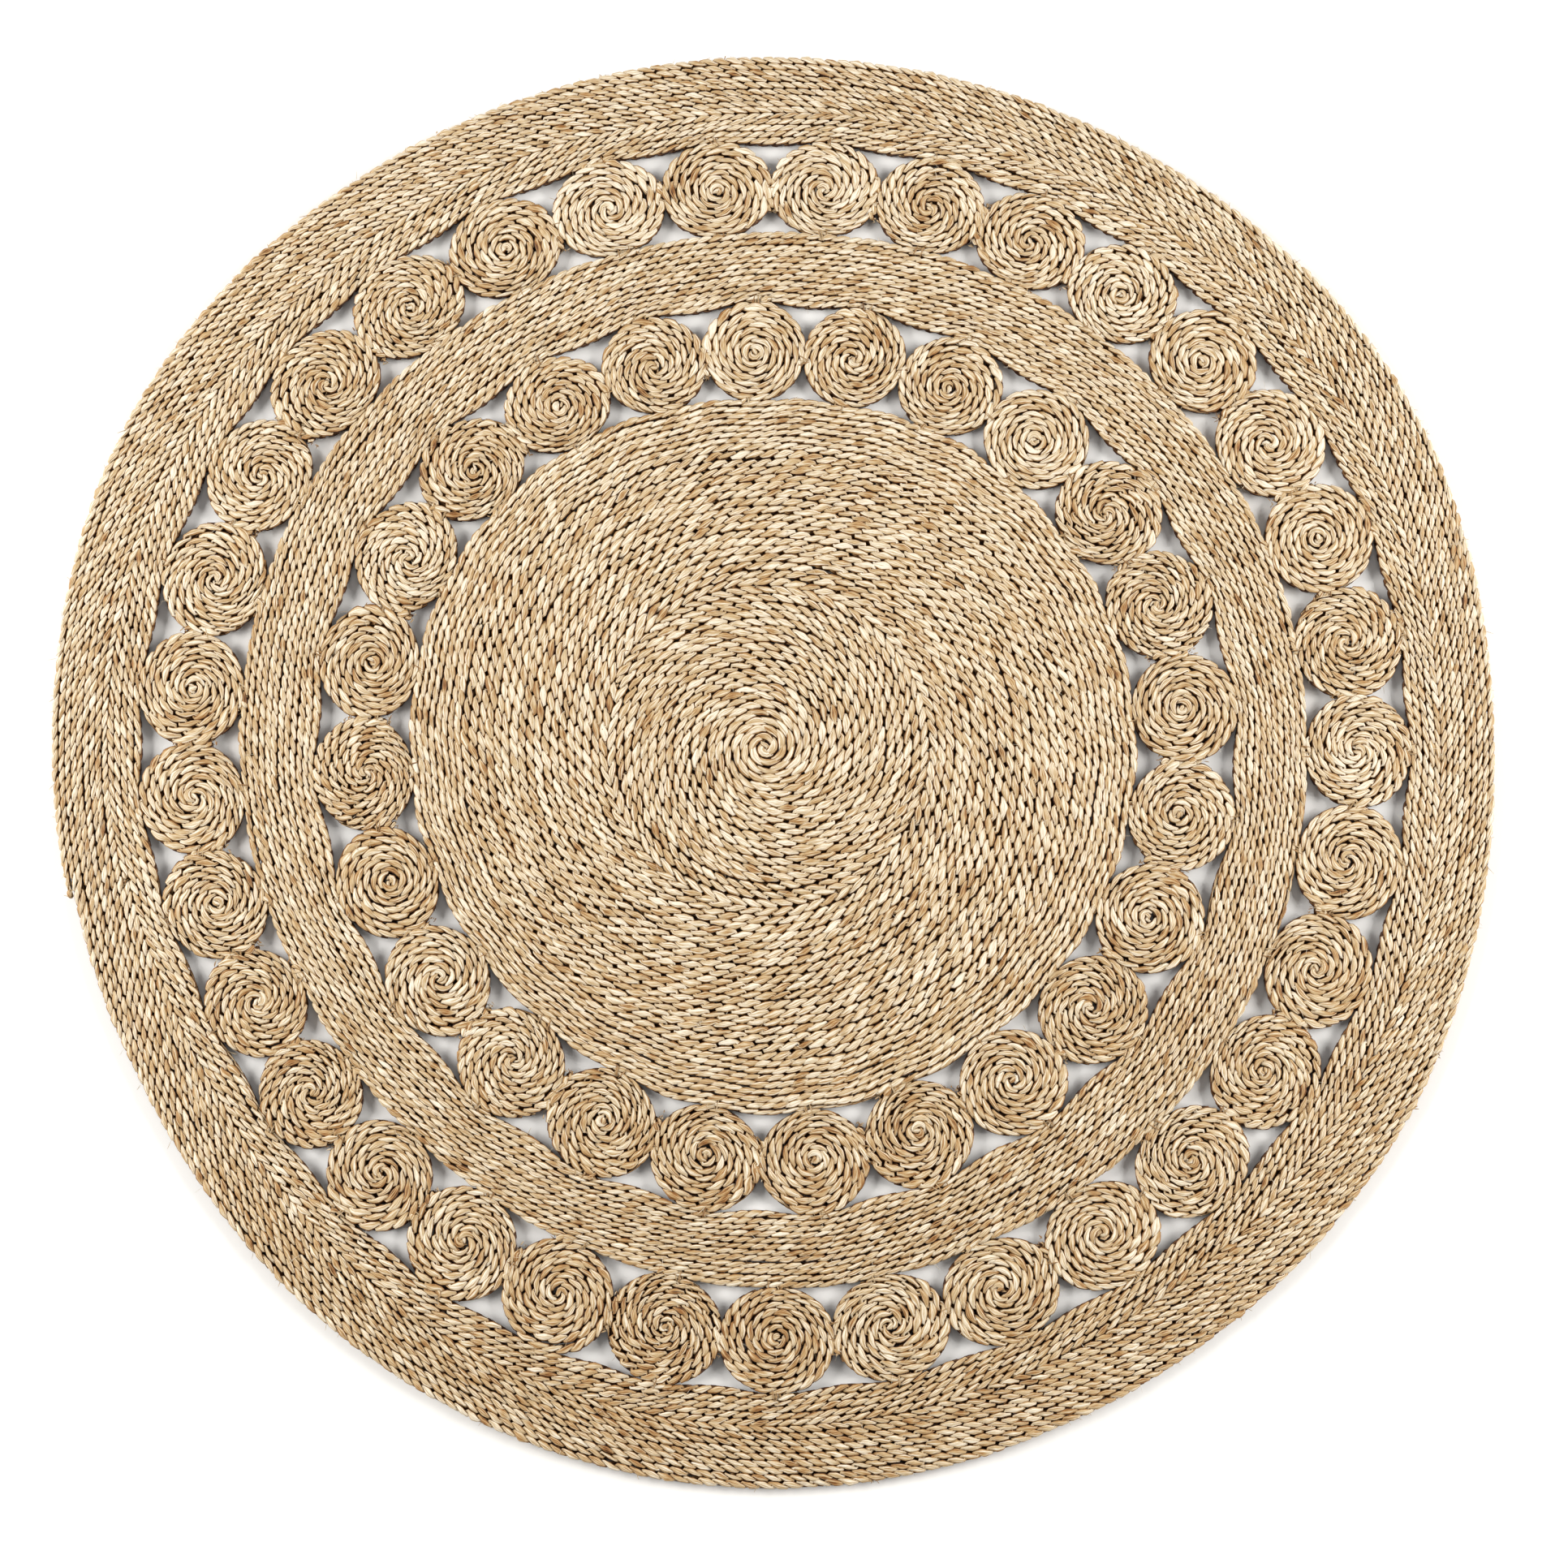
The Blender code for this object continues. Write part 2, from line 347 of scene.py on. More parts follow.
SECTION_ACROSS, SECTION_UP = cross_section()
FLANK_SHADE = np.array([0.0, 0.0, 0.7, 1.0, 1.0, 1.0, 0.7, 0.0])  # painted shade at each corner: none on top, most on the flanks and underside
SIDE_WIDTH = 0.0018  # metres round the strand between two corners, in the material's map
LANE_STRETCH = 1.3  # gives the faces about their own proportions in the map of lanes
LANE_MARGIN = 0.04  # of a lane's width, left free on both sides


def wander(rng, length, spacing, size):
    """A smooth random function of length, about that many metres between its knots."""
    knots = np.arange(0.0, length + 4 * spacing, spacing)
    values = rng.normal(0.0, size, len(knots))
    fine = np.linspace(0.0, knots[-1], len(knots) * 4)
    rough = np.interp(fine, knots, values)
    smooth = np.convolve(np.pad(rough, 2, "edge"), np.ones(5) / 5, "valid")
    return lambda at: np.interp(at, fine, smooth)


class Weave:
    """What a braid's mesh is made of, gathered strand by strand."""

    def __init__(self):
        self.points, self.tones, self.fibres, self.rings = [], [], [], []

    def add(self, points, tone, along):
        self.points.append(points)
        self.tones.append(tone.ravel())
        self.fibres.append(along)
        self.rings.append(len(points))

    def build(self, name, material):
        points = np.concatenate([p.reshape(-1, 3) for p in self.points])
        sides = np.arange(SIDES)
        quads, caps, along = [], [], []
        base = 0
        for rings, fibre in zip(self.rings, self.fibres):
            ring = base + SIDES * np.arange(rings - 1)[:, None]
            here, there = ring + sides, ring + (sides + 1) % SIDES
            quads.append(np.stack([there, here, here + SIDES, there + SIDES], 2).reshape(-1, 4))
            caps.append(base + sides)
            caps.append(base + SIDES * (rings - 1) + sides[::-1])
            along.append(np.stack([np.repeat(fibre[:-1], SIDES), np.repeat(fibre[1:], SIDES)], 1))
            base += SIDES * rings
        quads, caps, along = np.concatenate(quads), np.stack(caps), np.concatenate(along)
        corners = np.concatenate([quads.ravel(), caps.ravel()])
        mesh = bpy.data.meshes.new(name)
        mesh.vertices.add(len(points))
        mesh.vertices.foreach_set("co", points.astype(np.float32).ravel())
        mesh.loops.add(len(corners))
        mesh.loops.foreach_set("vertex_index", corners.astype(np.int32))
        mesh.polygons.add(len(quads) + len(caps))
        cap_starts = 4 * len(quads) + SIDES * np.arange(len(caps))
        starts = np.concatenate([4 * np.arange(len(quads)), cap_starts])
        mesh.polygons.foreach_set("loop_start", starts.astype(np.int32))
        mesh.update(calc_edges=True)
        mesh.shade_smooth()
        self.map_fibres(mesh, quads, caps, along)
        # the tone; on the braid it holds painted shade as well
        tone = mesh.attributes.new("tone", "FLOAT", "POINT")
        tone.data.foreach_set("value", np.concatenate(self.tones).astype(np.float32))
        mesh.materials.append(material)
        piece = bpy.data.objects.new(name, mesh)
        bpy.context.collection.objects.link(piece)
        return piece

    def map_fibres(self, mesh, quads, caps, along):
        """One map in metres along and round the strand, and one that lays the strands side by side."""
        side = np.tile(np.arange(SIDES), len(quads) // SIDES)
        across = np.stack([side + 1, side, side, side + 1], 1)
        length = along[:, [0, 0, 1, 1]]
        spare = np.zeros(2 * len(caps) * SIDES)
        metres = np.stack([length, across * SIDE_WIDTH], 2).reshape(-1)
        layer = mesh.uv_layers.new(name="fibre")
        layer.uv.foreach_set("vector", np.concatenate([metres, spare]).astype(np.float32))
        ring = np.arange(len(quads)) // SIDES
        lanes = max(1, int(round(math.sqrt(ring[-1] + 1) / math.sqrt(SIDES) * LANE_STRETCH)))
        lane_rings = math.ceil((ring[-1] + 1) / lanes)
        lane, at = ring // lane_rings, ring % lane_rings
        x = (lane[:, None] + LANE_MARGIN + (1 - 2 * LANE_MARGIN) * across / SIDES) / lanes
        y = (at[:, None] + np.array([0.0, 0.0, 1.0, 1.0])) / lane_rings
        layer = mesh.uv_layers.new(name="OFBake")
        flat = np.stack([x, y], 2).reshape(-1)
        layer.uv.foreach_set("vector", np.concatenate([flat, spare]).astype(np.float32))
        mesh.uv_layers["fibre"].active_render = True


HEIGHT = cad_box[1].z - cad_box[0].z


def swing(turn, lean):
    """How far a strand lies to the side, and half its width: it leans over evenly, then crosses back."""
    half = (turn + 90.0) % 180.0 - 90.0  # 0 where it crosses
    crossing = half / RETURN
    leaning = np.sign(half) * (90.0 - np.abs(half)) / (90.0 - RETURN)
    across = SWING * lean * np.where(np.abs(half) < RETURN, crossing, leaning)
    least = SIDE_HALF + (TIP_HALF - SIDE_HALF) * np.clip(np.abs(crossing), 0.0, 1.0)
    outer = HALF_ROW - NARROWING * (1.0 - np.abs(lean))
    return across, np.maximum(outer - np.abs(across), least)


def rise(turn):
    """How high a strand runs, from -1 to 1: it stays up for longer than down, and dives fast."""
    height = (np.sin(turn) + STAY) / (1.0 + STAY * np.sign(np.sin(turn) + STAY))
    return np.sign(height) * np.abs(height) ** STAY_POWER


def strand_turns(phase, fine, offset):
    """A strand's angle of phase at each of its cross-sections, and their places along the braid."""
    steps = int((phase[-1] - phase[0]) * RINGS)
    turn = 2 * np.pi * np.linspace(phase[0] + offset, phase[-1] + offset, steps)
    turn = turn + BUNCHING * (np.cos(turn) - np.cos(turn[0]))
    at = np.interp(turn / (2 * np.pi) - offset, phase, fine)
    return 2 * np.pi * (np.interp(at, fine, phase) + offset), at


def by_lobe(rng, lobe, spread):
    """A random number for each lobe, repeated over its cross-sections."""
    return rng.normal(0.0, spread, lobe[-1] + 1)[lobe]


def along_path(at, path, values):
    """Two-column values of a path at some places along it."""
    return np.stack([np.interp(at, path.length, values[:, k]) for k in (0, 1)], 1)


def plait(weave, path, lean, period, rng, darkness=0.0):
    """Adds a braid's three strands. Each swings from side to side twice while it rises and falls once."""
    total = path.length[-1]
    drift = wander(rng, total, DRIFT_PERIODS * period, DRIFT)
    fine = np.linspace(0.0, total, max(8, int(total / PHASE_STEP)))
    phase = fine / period + drift(fine)
    phase = np.maximum.accumulate(phase + 1e-6 * np.arange(len(phase)))  # it never runs back
    sway = wander(rng, total, SWAY_LENGTH, SWAY)
    for strand in range(3):
        turn, at = strand_turns(phase, fine, strand / 3.0)
        lobe = np.floor(turn / (2 * np.pi) + 0.25).astype(int)
        lobe -= lobe[0]
        along_lobe = 2.0 * ((turn / (2 * np.pi) + 0.25) % 1.0) - 1.0
        over = np.clip(np.sin(turn), 0.0, 1.0) ** 2  # 1 on a lobe's top, 0 below
        wide = by_lobe(rng, lobe, LOBE_WIDTH) * over
        lift = by_lobe(rng, lobe, LOBE_LIFT) * over
        shift = by_lobe(rng, lobe, LOBE_SHIFT)
        aside = (shift + by_lobe(rng, lobe, LOBE_TILT) * along_lobe) * over

        width = np.interp(at, path.length, path.width)
        ends = np.clip(np.minimum(at, total - at) / END_TAPER, LEAST_END, 1.0) ** 0.5
        thin = np.clip(width / EDGE_ROW, 0.0, 1.0) ** 0.5  # a tapered end is lower as well
        calm = np.interp(at, path.length, path.calm)
        across, half_width = swing(np.degrees(turn), lean * (1.0 - calm))
        across = (across + aside + sway(at)) * width
        half_width = (half_width + wide) * width * ends
        up = HEIGHT * (0.5 + (RISE * rise(turn) + lift) * thin)
        half_height = PLUMP_HALF * HEIGHT * (0.85 + 0.15 * np.abs(np.sin(turn))) * thin * ends
        centre = along_path(at, path, path.point)
        out = along_path(at, path, path.out)
        reach = across[:, None] + half_width[:, None] * SECTION_ACROSS
        ground = centre[:, None, :] + out[:, None, :] * reach[:, :, None]
        height = np.maximum(up[:, None] + half_height[:, None] * SECTION_UP, FLOOR_GAP)
        points = np.concatenate([ground, height[:, :, None]], 2)

        slow = wander(rng, total, SLOW_LENGTH, SLOW_TONE)(at)
        # darker towards -Y: partly browner jute, partly painted shade as if more light fell from +Y
        slow = slow - FRONT_BROWNING_AND_SHADE * smooth_step(-centre[:, 1] / FRONT_REACH)
        tone = PLAIN_TONE + slow + by_lobe(rng, lobe, LOBE_TONE) - darkness
        burnt = rng.random(lobe[-1] + 1) < BURNT_SHARE
        tone = tone - BURNT_DEPTH * burnt[lobe] * over
        # painted shade: darker on each strand's flanks and underside and where it dives between lobes,
        # less so on the rug's open rim
        dive_shade = np.clip((DIVE_FROM - height.max(1) / HEIGHT) / DIVE_SPAN, 0.0, 1.0)
        bare = np.interp(at, path.length, path.bare)[:, None] * (SECTION_ACROSS > 0)
        painted_shade = FLANK_SHADE * (1.0 - BARE_LIGHTENING * bare) + DIVE_SHADE_DEPTH * dive_shade[:, None]
        weave.add(points, tone[:, None] - PAINTED_SHADE_DEPTH * painted_shade, map_place(at, rng))


def map_place(at, rng):
    """Places along a strand or fibre in the material's map, from a random start."""
    return at + rng.uniform(0, 9)


def braid_end(weave, start, heading, length, widths, rng, darkness=0.0):
    """A short straight piece of braid, with its width at both ends."""
    turn = math.radians(heading)
    along = np.linspace(0.0, length, END_SAMPLES)
    path = object.__new__(Path)
    path.point = np.array(start) + along[:, None] * np.array([math.cos(turn), math.sin(turn)])
    path.out = np.tile([math.sin(turn), -math.cos(turn)], (END_SAMPLES, 1))
    path.width = np.linspace(*widths, END_SAMPLES)
    path.bare = path.calm = np.zeros(END_SAMPLES)
    path.length = along
    plait(weave, path, BACKSLASH, END_PERIOD, rng, darkness)


def eye(weave, centre, row, rng):
    """The braid's own start, folded across the middle of a coil."""
    heading = rng.uniform(0.0, 360.0)
    turn = math.radians(heading)
    start = np.array(centre) - EYE_LENGTH / 2 * row * np.array([math.cos(turn), math.sin(turn)])
    braid_end(weave, start, heading, EYE_LENGTH * row, (row, 0.8 * row), rng)


def fibre(weave, start, end, arch, thick, tone, rng):
    """One loose bundle of fibres, arched between two points and pointed at both."""
    part = np.linspace(0.0, 1.0, FIBRE_RINGS)[:, None]
    run = end - start
    line = start + run * part
    line[:, 2] += arch * 4 * part[:, 0] * (1.0 - part[:, 0])
    side = np.array([run[1], -run[0], 0.0]) / max(math.hypot(run[0], run[1]), 1e-9)
    half = thick / 2 * np.sin(np.pi * (0.06 + 0.88 * part)) ** 0.6
    corner = side * SECTION_ACROSS[:, None] + np.array([0.0, 0.0, 1.0]) * SECTION_UP[:, None]
    points = line[:, None, :] + half[:, :, None] * corner
    points[:, :, 2] = np.maximum(points[:, :, 2], FLOOR_GAP)
    tones = np.full((FIBRE_RINGS, SIDES), tone)
    weave.add(points, tones, map_place(part[:, 0] * np.linalg.norm(run), rng))


def seam(weave, point, heading, tucks, rng):
    """Where two coils meet: the twine that sews them, and braid ends tucked in beside it.

    heading points across the seam, and tucks is the chance of each of two tucked ends.
    """
    turn = math.radians(heading)
    across = np.array([math.cos(turn), math.sin(turn), 0.0])
    beside = np.array([-math.sin(turn), math.cos(turn), 0.0])
    foot = np.array([point[0], point[1], 0.0])
    for _ in range(STITCHES):
        middle = foot + beside * rng.uniform(-SEAM_HALF, SEAM_HALF)
        slant = across * STITCH_HALF + beside * rng.normal(0.0, 0.002)
        middle[2] = HEIGHT * rng.uniform(0.75, 0.95)
        tone = rng.normal(BROWN_TONE, 0.08)
        fibre(weave, middle - slant, middle + slant, 0.0, STITCH_THICK, tone, rng)
    for way in rng.permutation([-1.0, 1.0])[: rng.binomial(2, tucks)]:
        start = foot[:2] + way * beside[:2] * 0.004 + across[:2] * rng.uniform(-0.001, 0.001)
        length = rng.uniform(0.013, 0.02)
        lean = heading + way * 90.0 + rng.uniform(-14.0, 14.0)
        braid_end(weave, start, lean, length, (0.006, 0.010), rng, 0.1)
        fray(weave, start + way * beside[:2] * length, FIBRES_AT_TUCK, rng)


def level(turn, reach, up):
    """A step of that reach at an angle of turn, in radians, and of that height."""
    return np.array([math.cos(turn) * reach, math.sin(turn) * reach, up])


def fray(weave, point, count, rng):
    """A frayed end: short fibres that stick out from one spot."""
    for _ in range(count):
        turn, reach = rng.uniform(0.0, 2 * math.pi), rng.uniform(0.002, 0.006)
        start = np.array([point[0], point[1], HEIGHT * rng.uniform(0.55, 0.9)])
        start[:2] += rng.normal(0.0, 0.002, 2)
        end = start + level(turn, reach, rng.uniform(-0.002, 0.001))
        fibre(weave, start, end, 0.0006, rng.uniform(0.0006, 0.0016), rng.normal(BROWN_TONE, 0.1), rng)


def loose_hairs(weave, path, rng):
    """Hairs that have worked loose and lie on the braid."""
    for at in rng.uniform(0.0, path.length[-1], int(path.length[-1] * HAIRS)):
        spot = [np.interp(at, path.length, path.point[:, k]) for k in (0, 1)]
        turn, reach = rng.uniform(0.0, 2 * math.pi), rng.uniform(0.004, 0.012)
        start = np.array([*spot, HEIGHT * rng.uniform(0.93, 1.0)])
        start[:2] += rng.normal(0.0, 0.002, 2)
        end = start + level(turn, reach, rng.uniform(-0.001, 0.0006))
        arch, thick = rng.uniform(0.0, 0.0012), rng.uniform(0.0002, 0.0005)
        fibre(weave, start, end, arch, thick, rng.normal(PLAIN_TONE, 0.12), rng)


# ---- materials ----


JUTE_SCALE = (  # positions and linear colours, from the shade between the lobes to sunlit jute
    (0.22, (0.05, 0.016, 0.004, 1.0)),
    (0.42, (0.28, 0.11, 0.022, 1.0)),
    (0.60, (0.46, 0.29, 0.12, 1.0)),
    (0.75, (0.57, 0.43, 0.25, 1.0)),
    (1.0, (0.83, 0.74, 0.59, 1.0)),
)
STREAK_SCALE = (45.0, 900.0, 1.0)  # streaks in a metre along the strand, and round it
STREAK_DEPTH = 1.9  # how far the streaks move a tone
STREAK_BUMP = 0.0011  # metres
ROUGHNESS = (0.72, 0.52)  # of dark and of pale streaks
GLOSS = 0.35


def jute_material(name):
    """Dry fibre bundles: streaks along the strand, tone by lobe, and a silky, uneven gloss."""
    material = bpy.data.materials.new(name)
    material.use_nodes = True
    nodes, links = material.node_tree.nodes, material.node_tree.links
    shader = nodes["Principled BSDF"]
    shader.inputs["Specular IOR Level"].default_value = GLOSS
    coords = nodes.new("ShaderNodeUVMap")
    coords.uv_map = "fibre"
    stretch = nodes.new("ShaderNodeMapping")
    stretch.inputs["Scale"].default_value = STREAK_SCALE
    streaks = nodes.new("ShaderNodeTexNoise")
    streaks.inputs["Scale"].default_value = 1.0
    streaks.inputs["Detail"].default_value = 4.0
    streaks.inputs["Roughness"].default_value = 0.6
    centred = nodes.new("ShaderNodeMath")
    centred.operation = "SUBTRACT"
    centred.inputs[1].default_value = 0.5
    # the tone holds the jute's own tone with the painted shade already taken off
    tone = nodes.new("ShaderNodeAttribute")
    tone.attribute_name = "tone"
    mix = nodes.new("ShaderNodeMath")
    mix.operation = "MULTIPLY_ADD"
    mix.inputs[1].default_value = STREAK_DEPTH
    ramp = nodes.new("ShaderNodeValToRGB")
    stops = ramp.color_ramp.elements
    for stop, (position, colour) in zip((stops[0], stops[1]), (JUTE_SCALE[0], JUTE_SCALE[-1])):
        stop.position, stop.color = position, colour
    for position, colour in JUTE_SCALE[1:-1]:
        stops.new(position).color = colour
    bump = nodes.new("ShaderNodeBump")
    bump.inputs["Strength"].default_value = 1.0
    bump.inputs["Distance"].default_value = STREAK_BUMP
    gloss = nodes.new("ShaderNodeMapRange")
    gloss.inputs["To Min"].default_value = ROUGHNESS[0]
    gloss.inputs["To Max"].default_value = ROUGHNESS[1]
    links.new(coords.outputs["UV"], stretch.inputs["Vector"])
    links.new(stretch.outputs["Vector"], streaks.inputs["Vector"])
    links.new(streaks.outputs["Fac"], centred.inputs[0])
    links.new(centred.outputs["Value"], mix.inputs[0])
    links.new(tone.outputs["Fac"], mix.inputs[2])
    links.new(mix.outputs["Value"], ramp.inputs["Fac"])
    links.new(ramp.outputs["Color"], shader.inputs["Base Color"])
    links.new(streaks.outputs["Fac"], bump.inputs["Height"])
    links.new(bump.outputs["Normal"], shader.inputs["Normal"])
    links.new(streaks.outputs["Fac"], gloss.inputs["Value"])
    links.new(gloss.outputs["Result"], shader.inputs["Roughness"])
    return material


# ---- the rug ----


def finish_piece(weave, name, material, node):
    piece = weave.build(name, material)
    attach(piece, "root")
    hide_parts(node)


def lay_braid(name, path, lean, period, material, node, seed):
    """One long braid, in as many meshes as its length needs."""
    rng = np.random.default_rng(seed)
    for number, stretch in enumerate(path.shared_out(LONGEST_PIECE), 1):
        weave = Weave()
        plait(weave, stretch, lean, period, rng)
        loose_hairs(weave, stretch, rng)
        finish_piece(weave, f"{name}_{number:02d}", material, node)


def centre_coil():
    material = jute_material("jute of the centre coil")
    edge = edge_table(floor_outline("centre_coil"))
    edge_rows = (edge.mean() - MAIN_ROWS * CORE_ROW) / EDGE_ROW
    turns = MAIN_ROWS + edge_rows - EYE_ROW
    zones = ((MAIN_ROWS, CORE_ROW), (edge_rows + 3, EDGE_ROW))
    space = Disc(edge, zones, turns, 300.0)
    parts = (
        ("centre_core_braid", EYE_ROW, CORE_ROWS, SLASH, CORE_PERIOD),
        ("centre_main_braid", CORE_ROWS, MAIN_ROWS, BACKSLASH, CORE_PERIOD),
        ("centre_edge_braid", MAIN_ROWS, space.last_row, FLATTER * BACKSLASH, EDGE_PERIOD),
    )
    for seed, (name, start, end, lean, period) in enumerate(parts):
        path = spiral_path(space, start, end)
        rows_out = np.linalg.norm(path.point, axis=1) / CORE_ROW
        path.calm = CALM * (1.0 - smooth_step(rows_out / CALM_ROWS))
        lay_braid(name, path, lean, period, material, "centre_coil", seed)
    rng = np.random.default_rng(5)
    weave = Weave()
    eye(weave, (0.0, 0.0), CORE_ROW, rng)
    for angle in rng.uniform(0.0, 360.0, FLIP_FRAYS):
        spot = point_on(space, angle, CORE_ROWS + rng.normal(0.0, 0.4))
        fray(weave, spot, FIBRES_AT_FLIP, rng)
    finish_piece(weave, "centre_braid_ends", material, "centre_coil")


def middle_band():
    material = jute_material("jute of the middle band")
    inner, outer = ring_edges("middle_band")
    space = Ring(edge_table(inner), edge_table(outer), BAND_ROWS)
    path = ring_path(space, *BAND_CLIMB, 0, BAND_ROWS, False)
    lean = BAND_LEAN * BACKSLASH
    lay_braid("middle_braid", path, lean, EDGE_PERIOD, material, "middle_band", 10)


def border_space():
    """The border's space, as if its last row went all round, and the angle where that row ends."""
    inner, outer = ring_edges("outer_border")
    angle, radius = polar(outer)
    drop = int(np.argmax(radius - np.roll(radius, -1)))
    after = (drop + 1) % len(angle)
    tail = (angle[drop] + angle[after]) / 2
    past = (angle - tail) % 360.0
    radius = radius + (radius[drop] - radius[after]) * (1.0 - smooth_step(past / CLIMB_SPAN))
    turn = np.radians(angle)
    whole = np.stack([radius * np.cos(turn), radius * np.sin(turn)], 1)
    return Ring(edge_table(inner), edge_table(whole), BORDER_ROWS), tail


def worn_end(weave, path, rng):
    """The lumps and the frayed tip of the border's end."""
    ahead = np.array([-path.out[-1][1], path.out[-1][0], 0.0])
    for back in WORN_LUMPS:
        beside = np.array([*path.out[-1], 0.0]) * rng.uniform(0.0005, 0.002)
        start = np.array([*path.point[-1], HEIGHT * rng.uniform(0.45, 0.6)]) - ahead * back + beside
        end = start + ahead * rng.uniform(0.006, 0.009)
        fibre(weave, start, end, 0.0, 0.006, BROWN_TONE + 0.08, rng)
    fray(weave, path.point[-1], FIBRES_AT_TIP, rng)


def rim_fibres(weave, space, rng):
    """Frayed spots and single hairs on the rug's rim."""
    for turn in np.radians(rng.uniform(0.0, 360.0, RIM_FRAYS)):
        rim = look_up(space.high, math.degrees(turn)) - 0.003
        fray(weave, (rim * math.cos(turn), rim * math.sin(turn)), FIBRES_AT_RIM, rng)
    for turn in rng.uniform(0.0, 2 * math.pi, RIM_HAIRS):
        outward = level(turn, 1.0, 0.0)
        start = outward * (look_up(space.high, math.degrees(turn)) - 0.004)
        start[2] = HEIGHT * rng.uniform(0.5, 0.95)
        aside = np.array([-outward[1], outward[0], rng.uniform(-0.3, 0.3)]) * rng.normal(0.0, 0.004)
        end = start + outward * rng.uniform(0.005, 0.009) + aside
        thick = rng.uniform(0.0003, 0.0008)
        fibre(weave, start, end, 0.0003, thick, rng.normal(PLAIN_TONE, 0.1), rng)


def border():
    material = jute_material("jute of the border")
    space, tail = border_space()
    parts = (
        ("border_inner_braid", 0, BORDER_FLIP, BACKSLASH, 20),
        ("border_outer_braid", BORDER_FLIP, BORDER_ROWS, SLASH, 21),
    )
    for name, first, last, lean, seed in parts:
        path = ring_path(space, tail, CLIMB_SPAN, first, last, True)
        lay_braid(name, path, lean, EDGE_PERIOD, material, "outer_border", seed)
    rng = np.random.default_rng(22)
    weave = Weave()
    worn_end(weave, path, rng)
    fray(weave, point_on(space, tail, BORDER_FLIP), FIBRES_AT_BORDER_FLIP, rng)
    rim_fibres(weave, space, rng)
    finish_piece(weave, "border_braid_ends", material, "outer_border")


def rosette_edge(points, centre, heading, mirror):
    """A rosette's edge as a table, by angle from its heading in its own direction of winding."""
    angle, radius = polar(points - centre)
    own = (mirror * (angle - heading)) % 360.0
    order = np.argsort(own)
    table = np.interp(TABLE_ANGLES, own[order], radius[order], period=360.0)
    return blurred(table, ROSETTE_BLUR) + BULGE


def rosette(node, neighbour, material, seed):
    """A rosette's coil, and the seams that join it to both bands and to the rosette after it."""
    rng = np.random.default_rng(seed)
    points = floor_outline(node)
    centre = points.mean(0)
    heading = math.degrees(math.atan2(centre[1], centre[0]))
    mirror = -1.0 if rng.random() < MIRRORED_SHARE else 1.0
    edge = rosette_edge(points, centre, heading, mirror)
    rows = edge.mean() / ROSETTE_ROW
    space = Disc(edge, ((rows + 3, ROSETTE_ROW),), rows - EYE_ROW, rng.uniform(0.0, 360.0))
    place = {"mirror": mirror, "centre": centre, "heading": heading}
    path = spiral_path(space, EYE_ROW, space.last_row, **place)
    weave = Weave()
    lean = rng.uniform(*ROSETTE_LEANS) * (BACKSLASH if rng.random() < 0.5 else SLASH)
    period = ROSETTE_PERIOD * rng.uniform(*ROSETTE_PERIODS)
    plait(weave, path, lean, period, rng, rng.normal(*ROSETTE_DARKNESS))
    eye(weave, centre, ROSETTE_ROW, rng)
    loose_hairs(weave, path, rng)
    onward = floor_outline(neighbour).mean(0) - centre
    onward_heading = math.degrees(math.atan2(onward[1], onward[0]))
    seam(weave, centre + onward / 2, onward_heading, ROSETTE_TUCKS, rng)
    for way in (0.0, 180.0):
        turn = math.radians(heading + way)
        rim = look_up(edge, (mirror * way) % 360.0)
        spot = centre + rim * np.array([math.cos(turn), math.sin(turn)])
        seam(weave, spot, heading + way, BAND_TUCKS, rng)
    name = node.replace("rosette", "rosette_braid")
    finish_piece(weave, name, material, node)


def rosettes():
    material = jute_material("jute of the rosettes")
    for ring, first_seed in (("inner_rosette", 100), ("outer_rosette", 150)):
        nodes = sorted(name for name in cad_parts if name.startswith(ring))
        for number, node in enumerate(nodes):
            rosette(node, nodes[(number + 1) % len(nodes)], material, first_seed + number)


# ---- floor, light and camera ----


FLOOR_SIZE = 7.0  # metres; beyond it the world is as pale as the lit floor
FLOOR_COLOUR = (0.96, 0.935, 0.89, 1.0)
WORLD_LOW, WORLD_HIGH = 1.0, 0.16  # the world's strength at the horizon and high up
FADE_TOP = 0.55  # sine of the elevation at which it has faded to the lower one


def lay_floor():
    bpy.ops.mesh.primitive_plane_add(size=FLOOR_SIZE, location=(0.0, 0.0, 0.0))
    floor = bpy.context.object
    floor.name = "floor"
    material = bpy.data.materials.new("pale floor")
    material.use_nodes = True
    shader = material.node_tree.nodes["Principled BSDF"]
    shader.inputs["Base Color"].default_value = FLOOR_COLOUR
    shader.inputs["Roughness"].default_value = 0.9
    shader.inputs["Specular IOR Level"].default_value = 0.1
    floor.data.materials.append(material)


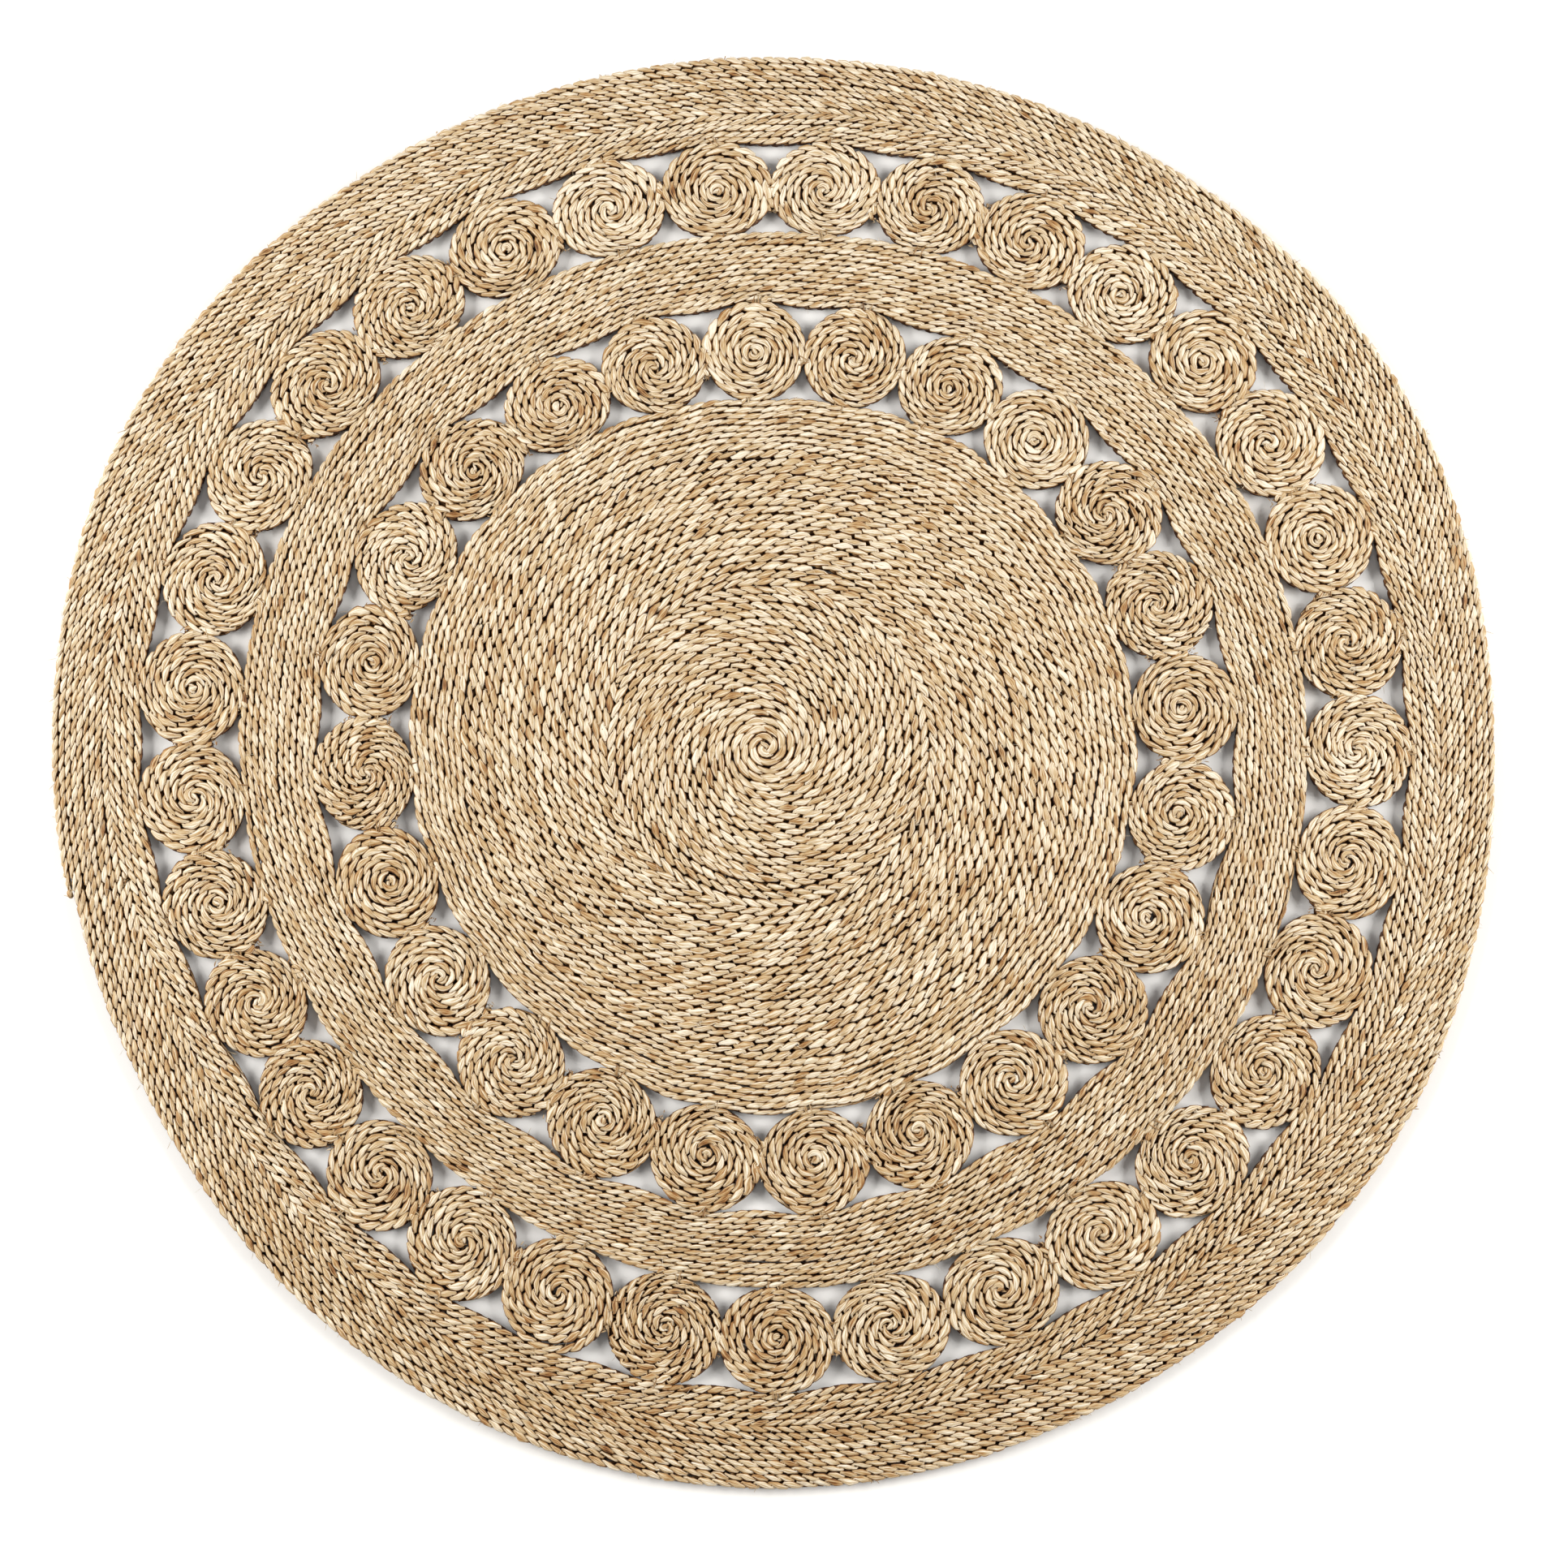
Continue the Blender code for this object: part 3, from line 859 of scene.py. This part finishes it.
def soft_light(name, place, size, power):
    light = bpy.data.lights.new(name, "AREA")
    light.shape = "RECTANGLE"
    light.size, light.size_y = size
    light.energy = power
    lamp = bpy.data.objects.new(name, light)
    lamp.location = place
    lamp.rotation_mode = "QUATERNION"
    lamp.rotation_quaternion = (-Vector(place)).to_track_quat("-Z", "Y")
    bpy.context.collection.objects.link(lamp)


def light_the_scene():
    """Two broad lights at the sides, a weak one high behind, and a world that is palest low down."""
    soft_light("left light", (-4.0, 0.5, 1.95), (3.2, 2.0), 295.0)
    soft_light("right light", (4.0, 0.5, 1.95), (3.2, 2.0), 285.0)
    soft_light("top light", (0.0, 2.4, 4.0), (3.0, 2.0), 15.0)
    world = bpy.data.worlds.new("studio")
    world.use_nodes = True
    nodes, links = world.node_tree.nodes, world.node_tree.links
    sky = nodes.new("ShaderNodeTexCoord")
    split = nodes.new("ShaderNodeSeparateXYZ")
    fade = nodes.new("ShaderNodeMapRange")
    fade.interpolation_type = "SMOOTHSTEP"
    fade.inputs["From Min"].default_value = 0.0
    fade.inputs["From Max"].default_value = FADE_TOP
    fade.inputs["To Min"].default_value = WORLD_LOW
    fade.inputs["To Max"].default_value = WORLD_HIGH
    links.new(sky.outputs["Generated"], split.inputs["Vector"])
    links.new(split.outputs["Z"], fade.inputs["Value"])
    links.new(fade.outputs["Result"], nodes["Background"].inputs["Strength"])
    nodes["Background"].inputs["Color"].default_value = (1.0, 1.0, 1.0, 1.0)
    bpy.context.scene.world = world
    bpy.context.scene.view_settings.view_transform = "Standard"


def place_camera():
    """The photo's camera looks down almost straight, from the -Y side."""
    elevation, distance = math.radians(83.0), 2.691
    target = Vector((0.0127, -0.0375, 0.0))
    back = Vector((0.0, -math.cos(elevation), math.sin(elevation)))
    camera = bpy.data.cameras.new("camera")
    camera.lens = 59.86
    camera.sensor_width = 36.0
    camera.sensor_fit = "HORIZONTAL"
    camera.clip_end = 50.0
    holder = bpy.data.objects.new("camera", camera)
    holder.location = target + back * distance
    holder.rotation_mode = "QUATERNION"
    holder.rotation_quaternion = (-back).to_track_quat("-Z", "Y")
    bpy.context.collection.objects.link(holder)
    bpy.context.scene.camera = holder


place_camera()
light_the_scene()
lay_floor()
centre_coil()
rosettes()
middle_band()
border()
